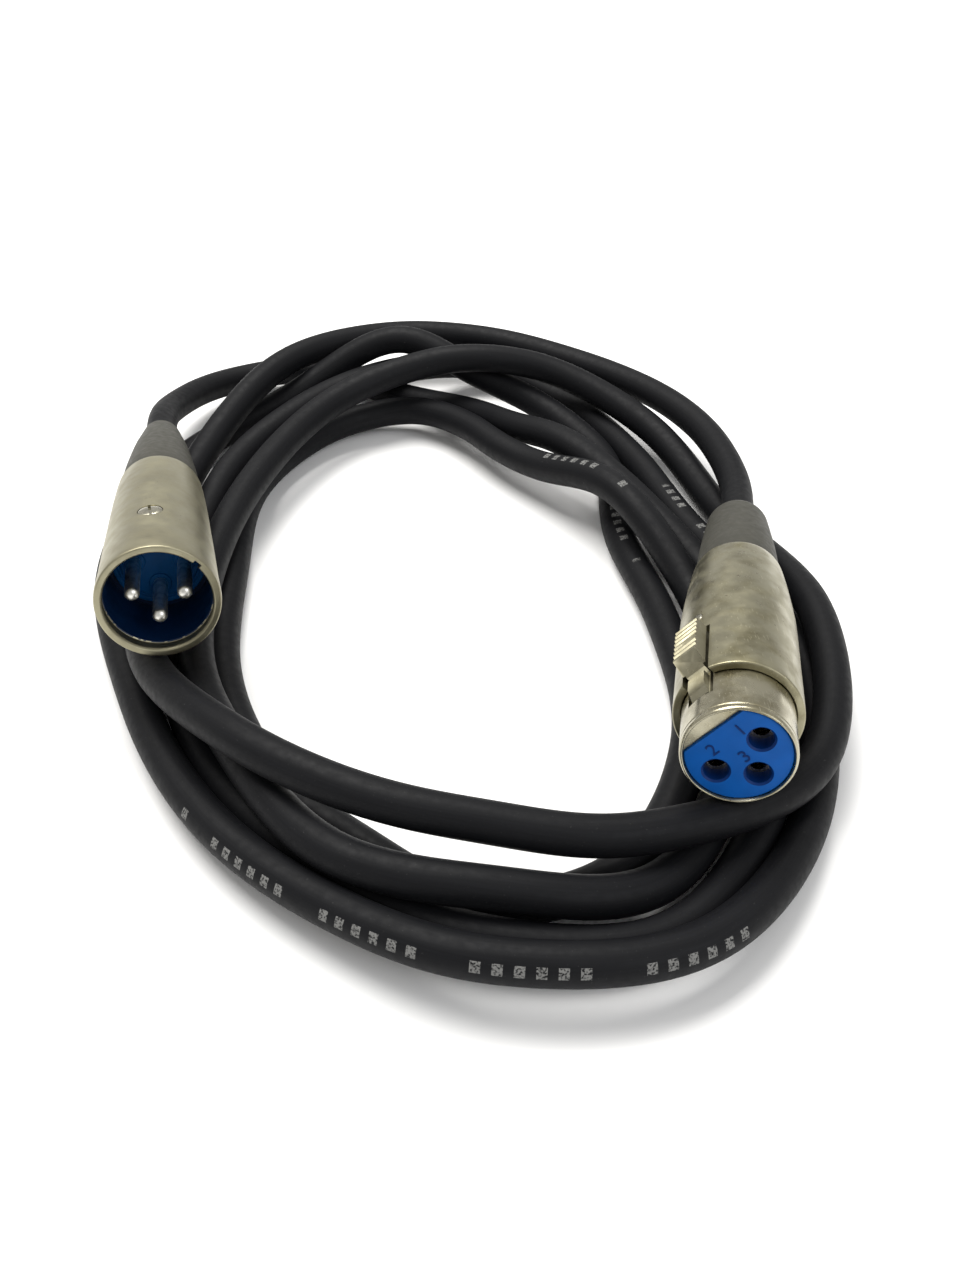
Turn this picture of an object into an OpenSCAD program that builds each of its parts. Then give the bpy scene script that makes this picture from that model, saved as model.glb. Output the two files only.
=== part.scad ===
// Microphone lead with a three-pin male and a three-socket female connector,
// wound by hand into a loose oval coil and laid flat.
// Millimetres. +Z up, +Y away from the two connector mouths, origin under the middle
// of the whole lead's box, on the surface that the coil lies on.

/* [Cable] */
// outer diameter of the cable jacket
cable_d = 6; // [5:0.1:7]
// half width of the coil's oval, side to side
coil_half_x = 57; // [50:1:70]
// half length of the coil's oval, front to back
coil_half_y = 86; // [75:1:100]

/* [Male connector] */
// outer diameter of the male shell at its rim
male_rim_d = 19; // [18:0.1:20]
// inside diameter of the male mouth
male_bore_d = 16.3; // [16.1:0.1:16.6]
// length of the metal male shell
male_shell_len = 43; // [38:1:50]
// length of the male connector from its rim to the end of its boot
male_len = 72; // [65:1:85]
// depth of the insert's face behind the rim
male_face_depth = 14.4; // [13:0.1:16]
// depth of the pin tips behind the rim
pin_tip_depth = 2.4; // [1:0.1:4]

/* [Female connector] */
// outer diameter of the nose that goes into a male mouth
nose_d = 15.7; // [15.4:0.05:15.9]
// depth of the sleeve's front rim behind the nose's face
sleeve_front = 9.3; // [8:0.1:18]
// depth of the sleeve's rear edge behind the nose's face
sleeve_back = 50; // [45:1:55]
// length of the female connector from its nose to the end of its boot
female_len = 73; // [70:1:90]
// diameter of the three entry holes in the insert's face
entry_hole_d = 3.4; // [3:0.1:3.8]

/* [Contacts] */
// diameter of the three male pins
pin_d = 2.36; // [2.3:0.01:2.4]
// inside diameter of the three socket contacts
socket_d = 2.42; // [2.38:0.01:2.5]
// diameter of the circle that the contacts stand on
contact_circle_d = 7.92; // [7.8:0.01:8]

/* [Latch] */
// how far the latch swings inward when its pad is pressed, degrees
latch_swing = 3; // [2:0.5:4]
// width of the latch's thumb pad
pad_w = 4; // [3:0.1:5]
// height of the pad's top above the connector's axis
pad_top = 11.2; // [10.5:0.1:12]

/* [View] */
// draws the latch at rest (0) or fully pressed (1)
latch_pose = 0; // [0:0.1:1]

/* [Hidden] */
$fn = 64;
small_fn = 32;

// Middle of the coil's oval on the floor, seen from the origin.
coil_centre = [0.4, 2.5, 0];

// Where the two mouths are from the middle of the coil, and how each connector is turned.
male_mouth = [-43.7, -36.3, 23.6];
male_pitch = 8.57;
male_yaw = 12.59;
female_mouth = [39.2, -67.4, 21.6];
female_pitch = 7.58;
female_yaw = -10.3;
latch_roll = 49;

// Contacts: pin 1, 2 and 3 as angles on their circle, male and female mirrored.
male_contact_angles = [-6, 174, 264];
female_contact_angles = [0, 180, 270];
contact_r = contact_circle_d / 2;

// Radii and depths shared by both connectors.
gap = 0.05;
lead_bore_r = cable_d / 2 + 0.05;
male_bore_r = male_bore_d / 2;
male_seat_r = 7.55;
nose_r = nose_d / 2;
nose_bore_r = 7.25;
sleeve_bore_r = 7.95;
insert_flat = 4.95;
nose_back = 32;
chuck_len = 5.5;
boot_in = 4;
pin_root_r = 1.4;
cup_r = 1.6;
cup_bore_r = 1;
cup_deep = 3.5;
wire_r = 0.75;
// where the wires leave the jacket: distance from the axis, and clear of its end
wire_in_r = 1.3;
wire_clear = 0.6;

// Latch: pivot, arm and tooth, as depths and heights in the female connector's frame.
pivot_depth = 30;
pivot_high = 6.5;
pivot_pin_r = 0.5;
arm_w = 3.2;
arm_low = 6.45;
arm_high = 7.45;
tooth_front = 5.6;
tooth_back = 9.8;
tooth_w = 2.9;
tooth_top = 8.6;
pad_toe = 10.9;
pad_front = 12.2;
pad_back = 20.5;
slot_half = 2.2;
notch_half = 2.35;
notch_back = 21.2;

// Rings of the cable's tube: sides of a ring, and how far its corners are from the middle.
tube_sides = 10;
tube_r = cable_d / 2 - 0.07;

// The cable's route. From the male boot it drops to the floor and joins the coil.
lead_in = [
    [-61.3, 43, 11.6], [-61.5, 53, 9], [-57.5, 66, 6.5], [-49.5, 76, 4.5],
    [-37.5, 81, 4], [-25.5, 77.5, 3.5], [-12.5, 69, 3]
];
// Then it goes round the oval clockwise, a station every 24 degrees from the left side.
// side[turn][k] is how far that strand lies outside (+) or inside (-) of the oval,
// and high[turn][k] is how high its middle is above the floor.
station_step = 24;
stations_per_turn = 360 / station_step;
first_station = 4;
last_station = 5;
turns = 6;
side = [
    [0, 0, 0, 0, -27, -32.5, -28.5, -19, -4, 4.5, 7.5, -1.5, -9.5, -9.5, -8],
    [-8, -6.5, -10, -12, -6, -9, -11.5, -10.5, 3.5, 11, 13, 4.5, -3, -3.5, -1],
    [6, 8, 0.5, -9.5, -19.5, -18, -18, -24.5, -19, -10, -5, -8.5, -16.5, -16, -15.5],
    [-16, -12, -14.5, -23.5, -36, -40, -35.5, -25, -11.5, -3, 1.5, -5.5, -8, -12, -11.5],
    [-14, -16, -17.5, -22.5, -23, -13.5, -5.5, -2.5, 6.5, 10, -3, -14, -15, -10.5, -4],
    [-1.5, 1, 2.5, 3, -0.5, -1.5]
];
high = [
    [0, 0, 0, 0, 5, 8, 11, 8, 3, 4.5, 3, 5, 4, 3, 3],
    [3.5, 6, 8.5, 9, 5.5, 3.5, 3, 3, 3, 3, 7, 8.5, 6.5, 5, 3.5],
    [3.5, 3, 5, 16, 10.5, 5.5, 3, 3, 3, 4, 3, 3, 3, 3, 3],
    [3, 3, 3.5, 5, 6.5, 7, 8, 13, 4, 3, 5.5, 10.5, 10.5, 9, 8],
    [9, 10, 11.5, 14.5, 16, 12.5, 7, 3.5, 9, 9.2, 11.5, 14, 15.5, 15.5, 10],
    [4.5, 6.5, 12.5, 11, 10, 9.5]
];
// Off the coil and up to the female boot.
lead_out = [[43, 57.5, 10], [51, 43, 10], [54, 30, 10], [54.6, 18, 10.2]];

// ---------------------------------------------------------------- route of the cable

// Direction in which a connector's mouth faces, from its pitch and yaw.
function facing(pitch, yaw) = [cos(pitch) * sin(yaw), -cos(pitch) * cos(yaw), sin(pitch)];

// Point on a connector's axis, a given depth behind its mouth.
function on_axis(mouth, pitch, yaw, depth) = mouth - depth * facing(pitch, yaw);

// Station k of one turn on the oval.
function station(turn, k) =
    let (phi = k * station_step, out = side[turn][k])
    [-(coil_half_x + out) * cos(phi), (coil_half_y + out) * sin(phi), high[turn][k]];

function first_of(turn) = turn == 0 ? first_station : 0;
function last_of(turn) = turn == turns - 1 ? last_station : stations_per_turn - 1;

coil = [
    for (turn = [0 : turns - 1])
        for (k = [first_of(turn) : last_of(turn)]) station(turn, k)
];

// How deep behind each mouth the jacket ends, inside the chuck.
male_jacket_end = 37.5;
female_jacket_end = 43.5;

// The tube starts inside one chuck and ends inside the other.
route = concat(
    [on_axis(male_mouth, male_pitch, male_yaw, male_jacket_end)],
    [on_axis(male_mouth, male_pitch, male_yaw, male_len + 1)],
    lead_in,
    coil,
    lead_out,
    [on_axis(female_mouth, female_pitch, female_yaw, female_len + 1)],
    [on_axis(female_mouth, female_pitch, female_yaw, female_jacket_end)]
);

function unit(v) = v / norm(v);
function ahead(points, i) = points[min(i + 1, len(points) - 1)];
function behind(points, i) = points[max(i - 1, 0)];

// One ring of the tube, square to the route, its flats lying level.
function ring(points, i) =
    let (
        along = unit(ahead(points, i) - behind(points, i)),
        across = unit(cross(along, [0, 0, 1])),
        up = cross(across, along)
    )
    [for (s = [0 : tube_sides - 1])
        let (a = s * 360 / tube_sides)
        points[i] + tube_r * (cos(a) * across + sin(a) * up)];

// Two triangles for each side of each stretch between two rings.
function skin(rings, sides) = [
    for (i = [0 : rings - 2])
        for (s = [0 : sides - 1])
            let (n = (s + 1) % sides, a = i * sides, b = (i + 1) * sides)
            for (t = [[a + s, b + n, b + s], [a + s, a + n, b + n]]) t
];

module cable_jacket() {
    rings = len(route);
    points = [for (i = [0 : rings - 1]) for (p = ring(route, i)) p];
    start_cap = [for (s = [tube_sides - 1 : -1 : 0]) s];
    end_cap = [for (s = [0 : tube_sides - 1]) (rings - 1) * tube_sides + s];
    color("dimgray")
        translate(coil_centre)
            polyhedron(points, concat(skin(rings, tube_sides), [start_cap, end_cap]));
}

// ---------------------------------------------------------------- placing the connectors

// In a connector's own frame +Z points out of its mouth, so depth runs along -Z.
module in_male() {
    translate(coil_centre + male_mouth)
        rotate([90 - male_pitch, 0, male_yaw])
            children();
}

// The female connector is also rolled, which carries its latch to +Y of its own frame.
module in_female() {
    translate(coil_centre + female_mouth)
        rotate([90 - female_pitch, 0, female_yaw])
            rotate([0, 0, latch_roll])
                children();
}

// Round rod or bore between two depths.
module rod(r, from, to, sides = small_fn) {
    translate([0, 0, -to]) cylinder(h = to - from, r = r, $fn = sides);
}

// Turned shape: an outline of [radius, depth] points spun about the axis.
module turned(outline) {
    rotate_extrude() polygon([for (p = outline) [p[0], -p[1]]]);
}

// Puts a child on the contact circle.
module at_contact(angle) {
    translate([contact_r * cos(angle), contact_r * sin(angle), 0]) children();
}

// Short insulated wire from a solder cup to the end of the cable's jacket.
module wire(angle, from, to) {
    start = [contact_r * cos(angle), contact_r * sin(angle), -from];
    finish = [wire_in_r * cos(angle), wire_in_r * sin(angle), -to];
    run = finish - start;
    translate(start)
        rotate([0, acos(run[2] / norm(run)), atan2(run[1], run[0])])
            cylinder(h = norm(run), r = wire_r, $fn = 16);
}

// Split plastic chuck that the shell closes on the cable, with a funnel for the wires.
module chuck(from, r) {
    to = from + chuck_len;
    difference() {
        turned([
            [r - 1.5, from], [r - 0.8, from], [r, from + 1],
            [r, to - 1.5], [r - 0.6, to], [lead_bore_r, to], [lead_bore_r, from + 3]
        ]);
        for (a = [0, 90])
            rotate([0, 0, a])
                translate([-r - 1, -0.4, -(to - 2)])
                    cube([2 * r + 2, 0.8, to]);
    }
}

// Slotted screw set square into a connector's wall; its head is up to +Y of its frame.
module slotted_screw(depth, head_r, head_top, shank_r, shank_low) {
    translate([0, 0, -depth])
        rotate([-90, 0, 0])
            difference() {
                union() {
                    translate([0, 0, shank_low]) cylinder(h = head_top - shank_low, r = shank_r, $fn = small_fn);
                    translate([0, 0, head_top - 0.8]) cylinder(h = 0.8, r = head_r, $fn = small_fn);
                }
                translate([-head_r - 1, -0.25, head_top - 0.5]) cube([2 * head_r + 2, 0.5, 1]);
            }
}

// What a connector's wall loses for such a screw: a shank hole, and a seat for its head.
module screw_seat(depth, hole_r, seat_r, seat_high) {
    rotate([0, 0, 90])
        translate([0, 0, -depth])
            rotate([0, 90, 0]) {
                translate([0, 0, 3]) cylinder(h = 9, r = hole_r, $fn = small_fn);
                translate([0, 0, seat_high]) cylinder(h = 6, r = seat_r, $fn = small_fn);
            }
}

// ---------------------------------------------------------------- male connector

male_screw_depth = 15;
male_screw_r = 2;
male_screw_top = 8.75;
male_insert_back = 28;
male_cup_back = male_insert_back + 4.5;
male_chuck_front = male_shell_len - chuck_len - boot_in - gap;

module male_shell() {
    color("silver") in_male() difference() {
        turned([
            [male_bore_r, 0.4], [male_bore_r + 0.4, 0], [male_rim_d / 2 - 0.5, 0], [male_rim_d / 2, 0.5],
            [9.2, 6], [8.85, 15], [8.5, 23], [8.2, 30], [7.8, 37], [7.5, 42], [7.2, male_shell_len],
            [6.6, male_shell_len], [6.6, 31], [male_seat_r, 28.5],
            [male_seat_r, male_face_depth + 0.2], [male_bore_r, male_face_depth + 0.2]
        ]);
        screw_seat(male_screw_depth, 1.25, male_screw_r + gap, male_screw_top - 0.85);
        // keyway notch in the rim, up to the right
        rotate([0, 0, -50]) translate([-0.65, male_bore_r - 0.5, -1.3]) cube([1.3, 0.9, 4]);
    }
}

module male_insert() {
    color("navy") in_male() difference() {
        turned([
            [0, male_face_depth], [male_seat_r - gap, male_face_depth],
            [male_seat_r - gap, male_insert_back], [0, male_insert_back]
        ]);
        for (a = male_contact_angles) at_contact(a) rod(pin_root_r + 0.02, 0, 40);
        translate([0, 0, -male_screw_depth]) rotate([-90, 0, 0])
            translate([0, 0, 5.4]) cylinder(h = 4, r = 1.25, $fn = small_fn);
        // shallow moulding ring round the contacts
        difference() {
            rod(6.6, male_face_depth - 1, male_face_depth + 0.4, 64);
            rod(6.2, male_face_depth - 2, male_face_depth + 1, 64);
        }
    }
}

// Solid round-nosed pin on a thicker root in the insert, with a hollow solder cup at its back.
module male_pin(angle) {
    nose = 0.8;
    root_from = male_face_depth - 0.05;
    cup_from = male_insert_back + gap;
    cup_to = male_cup_back;
    color("gainsboro") in_male() at_contact(angle) turned([
        [0, pin_tip_depth], [0.5, pin_tip_depth], [0.85, pin_tip_depth + 0.15],
        [1.08, pin_tip_depth + 0.45], [pin_d / 2, pin_tip_depth + nose],
        [pin_d / 2, root_from], [pin_root_r, root_from], [pin_root_r, cup_from],
        [cup_r, cup_from], [cup_r, cup_to], [cup_bore_r, cup_to],
        [cup_bore_r, cup_to - cup_deep], [0, cup_to - cup_deep]
    ]);
}

module male_pin_1() { male_pin(male_contact_angles[0]); }
module male_pin_2() { male_pin(male_contact_angles[1]); }
module male_pin_3() { male_pin(male_contact_angles[2]); }

module male_set_screw() {
    color("gray") in_male() slotted_screw(male_screw_depth, male_screw_r, male_screw_top, 1.2, 5.6);
}

module male_chuck() {
    color("ivory") in_male() chuck(male_chuck_front, 6.5);
}

module male_boot() {
    color("darkslategray") in_male() turned([
        [lead_bore_r, male_shell_len - boot_in], [6.5, male_shell_len - boot_in], [6.5, male_shell_len + 0.1],
        [7.1, male_shell_len + 0.1], [6.9, 47], [6.3, 53], [5.6, 59], [4.9, 64], [4.2, 68],
        [3.8, 71], [3.6, male_len], [lead_bore_r, male_len]
    ]);
}

module male_wire(angle) {
    color("white") in_male() wire(angle, male_cup_back + wire_clear, male_jacket_end - wire_clear);
}

// ---------------------------------------------------------------- female connector

female_screw_depth = 25;
female_insert_front = 0.4;
female_insert_back = 27;
contact_front = 3;
socket_len = 15;
contact_body_r = 1.95;
female_cup_back = female_insert_back + 5;
female_chuck_front = sleeve_back - chuck_len - boot_in - gap;

module female_sleeve() {
    color("silver") in_female() difference() {
        turned([
            [sleeve_bore_r, sleeve_front], [8.8, sleeve_front], [9.1, sleeve_front + 0.4],
            [9, 20], [8.95, 30], [8.6, 37], [8.2, 42], [7.7, 47], [7.2, sleeve_back],
            [6.6, sleeve_back], [6.6, 38], [sleeve_bore_r, 33]
        ]);
        // notch for the thumb pad, open at the front rim
        translate([-notch_half, 4, -notch_back]) cube([2 * notch_half, 8, notch_back]);
        // seat of the screw behind the pad
        translate([0, 0, -female_screw_depth]) rotate([-90, 0, 0]) cylinder(h = 12, r = 1.05, $fn = small_fn);
    }
}

module female_nose() {
    color("gainsboro") in_female() difference() {
        union() {
            turned([
                [nose_bore_r, 0.5], [nose_bore_r + 0.2, 0], [nose_r - 0.3, 0], [nose_r, 0.4],
                [nose_r, nose_back], [nose_bore_r, nose_back]
            ]);
            // plate between the insert's flat and the front of the latch
            intersection() {
                rod(nose_bore_r + 0.2, 0.9, tooth_front - 0.6, 64);
                translate([-8, insert_flat + gap, -10]) cube([16, 8, 10]);
            }
        }
        // slot in which the latch swings, open at the back
        translate([-slot_half, insert_flat, -nose_back - 1]) cube([2 * slot_half, 6, nose_back + 1 - tooth_front + 0.5]);
        // holes for the pivot pin
        translate([-6, pivot_high, -pivot_depth]) rotate([0, 90, 0])
            cylinder(h = 12, r = pivot_pin_r + 0.02, $fn = small_fn);
    }
}

module female_insert() {
    color("royalblue") in_female() difference() {
        rod(nose_bore_r - gap, female_insert_front, female_insert_back, 64);
        translate([-8, insert_flat, -40]) cube([16, 8, 41]);
        for (a = female_contact_angles) at_contact(a) {
            rod(entry_hole_d / 2, 0, contact_front + 0.5);
            rod(contact_body_r + 0.02, contact_front, 40);
        }
    }
}

// Round socket contact with a solder cup at its back.
module female_contact(angle) {
    cup_to = female_cup_back;
    cup_from = cup_to - cup_deep;
    bore_to = contact_front + socket_len;
    color("gold") in_female() at_contact(angle) turned([
        [socket_d / 2, contact_front], [contact_body_r, contact_front],
        [contact_body_r, female_insert_back - gap], [cup_r, female_insert_back],
        [cup_r, cup_to], [cup_bore_r, cup_to], [cup_bore_r, cup_from], [0, cup_from],
        [0, bore_to], [socket_d / 2, bore_to]
    ]);
}

module female_contact_1() { female_contact(female_contact_angles[0]); }
module female_contact_2() { female_contact(female_contact_angles[1]); }
module female_contact_3() { female_contact(female_contact_angles[2]); }

// Turns a child about the latch's pivot, inward, by a share of its swing.
module swung(share) {
    translate([0, pivot_high, -pivot_depth])
        rotate([share * latch_swing, 0, 0])
            translate([0, -pivot_high, pivot_depth])
                children();
}

// Outline of the latch seen from the side, as [depth, height] points, given a width.
module side_plate(outline, w) {
    translate([w / 2, 0, 0])
        rotate([0, -90, 0])
            linear_extrude(w) polygon([for (p = outline) [-p[0], p[1]]]);
}

module latch_lever() {
    stem_front = 10.6;
    color("lightgray") in_female() swung(latch_pose) difference() {
        union() {
            // arm, with the boss of its pivot
            side_plate([
                [tooth_front, arm_low], [pivot_depth, arm_low], [pivot_depth, arm_high], [tooth_front, arm_high]
            ], arm_w);
            translate([-arm_w / 2, pivot_high, -pivot_depth]) rotate([0, 90, 0]) cylinder(h = arm_w, r = 1.1, $fn = small_fn);
            // tooth that catches behind a mating connector's rim
            side_plate([
                [tooth_front, arm_high - 0.5], [tooth_back, arm_high - 0.5], [tooth_back, tooth_top],
                [tooth_front + 2, tooth_top], [tooth_front, tooth_top - 1]
            ], tooth_w);
            // stem under the pad
            side_plate([
                [stem_front, arm_high - 0.5], [pad_back, arm_high - 0.5], [pad_back, 9.1],
                [pad_toe, 9.1], [stem_front, 8.7]
            ], arm_w);
            // thumb pad with a sloping front
            side_plate([
                [pad_toe, 9], [pad_back, 9], [pad_back, pad_top - 0.4], [pad_back - 0.5, pad_top],
                [pad_front + 0.2, pad_top], [pad_front, pad_top - 0.1]
            ], pad_w);
        }
        // running hole for the pivot pin
        translate([-4, pivot_high, -pivot_depth]) rotate([0, 90, 0])
            cylinder(h = 8, r = pivot_pin_r + 0.05, $fn = small_fn);
        // grip grooves across the pad
        for (d = [pad_front + 1.2 : 1.2 : pad_back - 1])
            translate([-pad_w, pad_top - 0.3, -d - 0.2]) cube([2 * pad_w, 1, 0.4]);
    }
}

module latch_pin() {
    pin_half = 3.6;
    color("gray") in_female()
        translate([-pin_half, pivot_high, -pivot_depth]) rotate([0, 90, 0])
            cylinder(h = 2 * pin_half, r = pivot_pin_r, $fn = small_fn);
}

// Bowed leaf spring between the insert's flat and the latch's arm.
module latch_spring() {
    thick = 0.25;
    low = insert_flat + gap;
    top = arm_low - gap;
    color("goldenrod") in_female() side_plate([
        [16, low], [19, low], [22, top - thick], [24, low], [26.5, low], [26.5, low + thick], [24.2, low + thick],
        [22.1, top], [21.8, top], [18.9, low + thick], [16, low + thick]
    ], 2.4);
}

module female_set_screw() {
    color("gray") in_female() slotted_screw(female_screw_depth, 1.0, 9.05, 0.95, sleeve_bore_r + gap);
}

module female_chuck() {
    color("ivory") in_female() chuck(female_chuck_front, 6.5);
}

module female_boot() {
    color("darkslategray") in_female() turned([
        [lead_bore_r, sleeve_back - boot_in], [6.5, sleeve_back - boot_in], [6.5, sleeve_back + 0.1],
        [7, sleeve_back + 0.1], [6.85, 53], [6.5, 59], [5.95, 65], [5.45, 70],
        [4.6, 72.2], [3.7, female_len], [lead_bore_r, female_len]
    ]);
}

module female_wire(angle) {
    color("white") in_female() wire(angle, female_cup_back + wire_clear, female_jacket_end - wire_clear);
}

module male_wire_1() { male_wire(male_contact_angles[0]); }
module male_wire_2() { male_wire(male_contact_angles[1]); }
module male_wire_3() { male_wire(male_contact_angles[2]); }
module female_wire_1() { female_wire(female_contact_angles[0]); }
module female_wire_2() { female_wire(female_contact_angles[1]); }
module female_wire_3() { female_wire(female_contact_angles[2]); }

// ---------------------------------------------------------------- nodes

male_shell();
male_insert();
male_pin_1();
male_pin_2();
male_pin_3();
male_set_screw();
male_chuck();
male_boot();
male_wire_1();
male_wire_2();
male_wire_3();
female_sleeve();
female_nose();
female_insert();
female_contact_1();
female_contact_2();
female_contact_3();
latch_lever();
latch_pin();
latch_spring();
female_set_screw();
female_chuck();
female_boot();
female_wire_1();
female_wire_2();
female_wire_3();
cable_jacket();
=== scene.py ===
"""Looks of the microphone lead: a smooth jacket, two turned connectors and a latch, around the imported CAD.

Lengths in the code are millimetres unless a name says otherwise; MM turns them into metres.
A connector's own frame has +Z out of its mouth, so a "depth" runs along -Z behind the mouth.
"""
import math

import bmesh
import bpy
import numpy as np
from mathutils import Matrix, Vector


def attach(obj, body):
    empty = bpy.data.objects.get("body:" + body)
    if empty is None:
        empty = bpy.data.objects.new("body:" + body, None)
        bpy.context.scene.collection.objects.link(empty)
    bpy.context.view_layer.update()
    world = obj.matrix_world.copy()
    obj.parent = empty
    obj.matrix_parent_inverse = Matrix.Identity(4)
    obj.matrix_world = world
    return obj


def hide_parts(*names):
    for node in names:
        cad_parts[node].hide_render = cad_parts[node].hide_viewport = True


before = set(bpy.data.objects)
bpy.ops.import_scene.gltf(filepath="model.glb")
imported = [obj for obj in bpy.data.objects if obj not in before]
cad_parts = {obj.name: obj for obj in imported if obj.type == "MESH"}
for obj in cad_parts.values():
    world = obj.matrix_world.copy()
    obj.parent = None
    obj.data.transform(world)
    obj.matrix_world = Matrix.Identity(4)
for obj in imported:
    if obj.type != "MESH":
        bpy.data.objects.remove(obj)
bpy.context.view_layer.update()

MM = 0.001

# ------------------------------------------------------------------ placement, as in the CAD source

COIL_CENTRE = Vector((0.4, 2.5, 0.0))
COIL_HALF_X = 57.0
COIL_HALF_Y = 86.0
CABLE_D = 6.0

MALE = dict(mouth=Vector((-43.7, -36.3, 23.6)), pitch=8.57, yaw=12.59, roll=0.0, length=72.0)
FEMALE = dict(mouth=Vector((39.2, -67.4, 21.6)), pitch=7.58, yaw=-10.3, roll=49.0, length=73.0)

# The cord's route, from the coil's centre: the stretch from the male boot to the coil, then the coil, whose
# stations are STATION_STEP degrees apart on an oval, with one row for each turn, then the stretch to the
# female boot. SIDE is how far a station lies outside the oval, and HIGH how high the cord's middle is.
STATION_STEP = 24
FIRST_STATION = 4
LEAD_IN = [
    (-61.3, 43, 11.6), (-61.5, 53, 9), (-57.5, 66, 6.5), (-49.5, 76, 4.5),
    (-37.5, 81, 4), (-25.5, 77.5, 3.5), (-12.5, 69, 3),
]
SIDE = [
    [0, 0, 0, 0, -27, -32.5, -28.5, -19, -4, 4.5, 7.5, -1.5, -9.5, -9.5, -8],
    [-8, -6.5, -10, -12, -6, -9, -11.5, -10.5, 3.5, 11, 13, 4.5, -3, -3.5, -1],
    [6, 8, 0.5, -9.5, -19.5, -18, -18, -24.5, -19, -10, -5, -8.5, -16.5, -16, -15.5],
    [-16, -12, -14.5, -23.5, -36, -40, -35.5, -25, -11.5, -3, 1.5, -5.5, -8, -12, -11.5],
    [-14, -16, -17.5, -22.5, -23, -13.5, -5.5, -2.5, 6.5, 10, -3, -14, -15, -10.5, -4],
    [-1.5, 1, 2.5, 3, -0.5, -1.5],
]
HIGH = [
    [0, 0, 0, 0, 5, 8, 11, 8, 3, 4.5, 3, 5, 4, 3, 3],
    [3.5, 6, 8.5, 9, 5.5, 3.5, 3, 3, 3, 3, 7, 8.5, 6.5, 5, 3.5],
    [3.5, 3, 5, 16, 10.5, 5.5, 3, 3, 3, 4, 3, 3, 3, 3, 3],
    [3, 3, 3.5, 5, 6.5, 7, 8, 13, 4, 3, 5.5, 10.5, 10.5, 9, 8],
    [9, 10, 11.5, 14.5, 16, 12.5, 7, 3.5, 9, 9.2, 11.5, 14, 15.5, 15.5, 10],
    [4.5, 6.5, 12.5, 11, 10, 9.5],
]
LEAD_OUT = [(43, 57.5, 10), (51, 43, 10), (54, 30, 10), (54.6, 18, 10.2)]
INSIDE_BOOT = 12.0
PAST_BOOT = 1.0

# The three contacts of each connector, on a circle of this radius.
CONTACT_R = 3.96
MALE_ANGLES = (-6, 174, 264)
FEMALE_ANGLES = (0, 180, 270)


def connector_matrix(plug):
    """From a connector's own millimetres to the row frame in metres."""
    turn = (
        Matrix.Rotation(math.radians(plug["yaw"]), 4, "Z")
        @ Matrix.Rotation(math.radians(90 - plug["pitch"]), 4, "X")
        @ Matrix.Rotation(math.radians(plug["roll"]), 4, "Z")
    )
    return Matrix.Translation((COIL_CENTRE + plug["mouth"]) * MM) @ turn @ Matrix.Scale(MM, 4)


MALE_M = connector_matrix(MALE)
FEMALE_M = connector_matrix(FEMALE)
# A connector's own frame, in which its pieces are built before they are moved into place.
OWN = Matrix.Identity(4)


def on_axis(matrix, depth):
    """A point on a connector's axis, in metres."""
    return matrix @ Vector((0, 0, -depth))


def contact_place(angle):
    a = math.radians(angle)
    return CONTACT_R * math.cos(a), CONTACT_R * math.sin(a)


# ------------------------------------------------------------------ camera, light and floor

CAMERA_PLACE = Vector((5.0, -181.0, 133.5))
CAMERA_DOWN = 39.0
LENS = 33.75
SENSOR = 36.0

# The stage's own lengths are metres.
FLOOR_SIZE = 6.0
FLOOR_DROP = 0.0002
FLOOR_GREY = 0.93
SKY_COLOUR = (1.0, 0.99, 0.97, 1)
SKY_STRENGTH = 0.62
LIGHTS = {
    "key": dict(place=(-0.20, 0.30, 0.9), size=(0.8, 0.5), power=13.0, colour=(1.0, 0.985, 0.955)),
    "fill": dict(place=(0.7, -0.6, 0.7), size=(0.6, 0.6), power=3.5, colour=(0.95, 0.97, 1.0)),
}


def make_camera():
    data = bpy.data.cameras.new("camera")
    data.lens = LENS
    data.sensor_width = SENSOR
    data.clip_start = 0.005
    camera = bpy.data.objects.new("camera", data)
    camera.location = (COIL_CENTRE + CAMERA_PLACE) * MM
    camera.rotation_euler = (math.radians(90 - CAMERA_DOWN), 0, 0)
    bpy.context.scene.collection.objects.link(camera)
    bpy.context.scene.camera = camera


def make_light(name, place, size, power, colour):
    """A softbox that faces the middle of the stage."""
    data = bpy.data.lights.new(name, "AREA")
    data.shape = "RECTANGLE"
    data.size = size[0]
    data.size_y = size[1]
    data.energy = power
    data.color = colour
    light = bpy.data.objects.new(name, data)
    light.location = place
    light.rotation_euler = (-Vector(place)).to_track_quat("-Z", "Y").to_euler()
    bpy.context.scene.collection.objects.link(light)


def make_stage():
    bpy.ops.mesh.primitive_plane_add(size=FLOOR_SIZE, location=(0, 0, -FLOOR_DROP))
    floor = bpy.context.object
    floor.name = "floor"
    paint = bpy.data.materials.new("floor_paper")
    paint.use_nodes = True
    shader = paint.node_tree.nodes["Principled BSDF"]
    shader.inputs["Base Color"].default_value = (FLOOR_GREY, FLOOR_GREY, FLOOR_GREY, 1)
    shader.inputs["Roughness"].default_value = 0.9
    shader.inputs["Specular IOR Level"].default_value = 0.1
    floor.data.materials.append(paint)
    world = bpy.data.worlds.new("studio")
    world.use_nodes = True
    sky = world.node_tree.nodes["Background"]
    sky.inputs["Color"].default_value = SKY_COLOUR
    sky.inputs["Strength"].default_value = SKY_STRENGTH
    bpy.context.scene.world = world
    for name, settings in LIGHTS.items():
        make_light(name, **settings)
    bpy.context.scene.view_settings.view_transform = "Standard"


make_camera()
make_stage()

# ------------------------------------------------------------------ the cord


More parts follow.
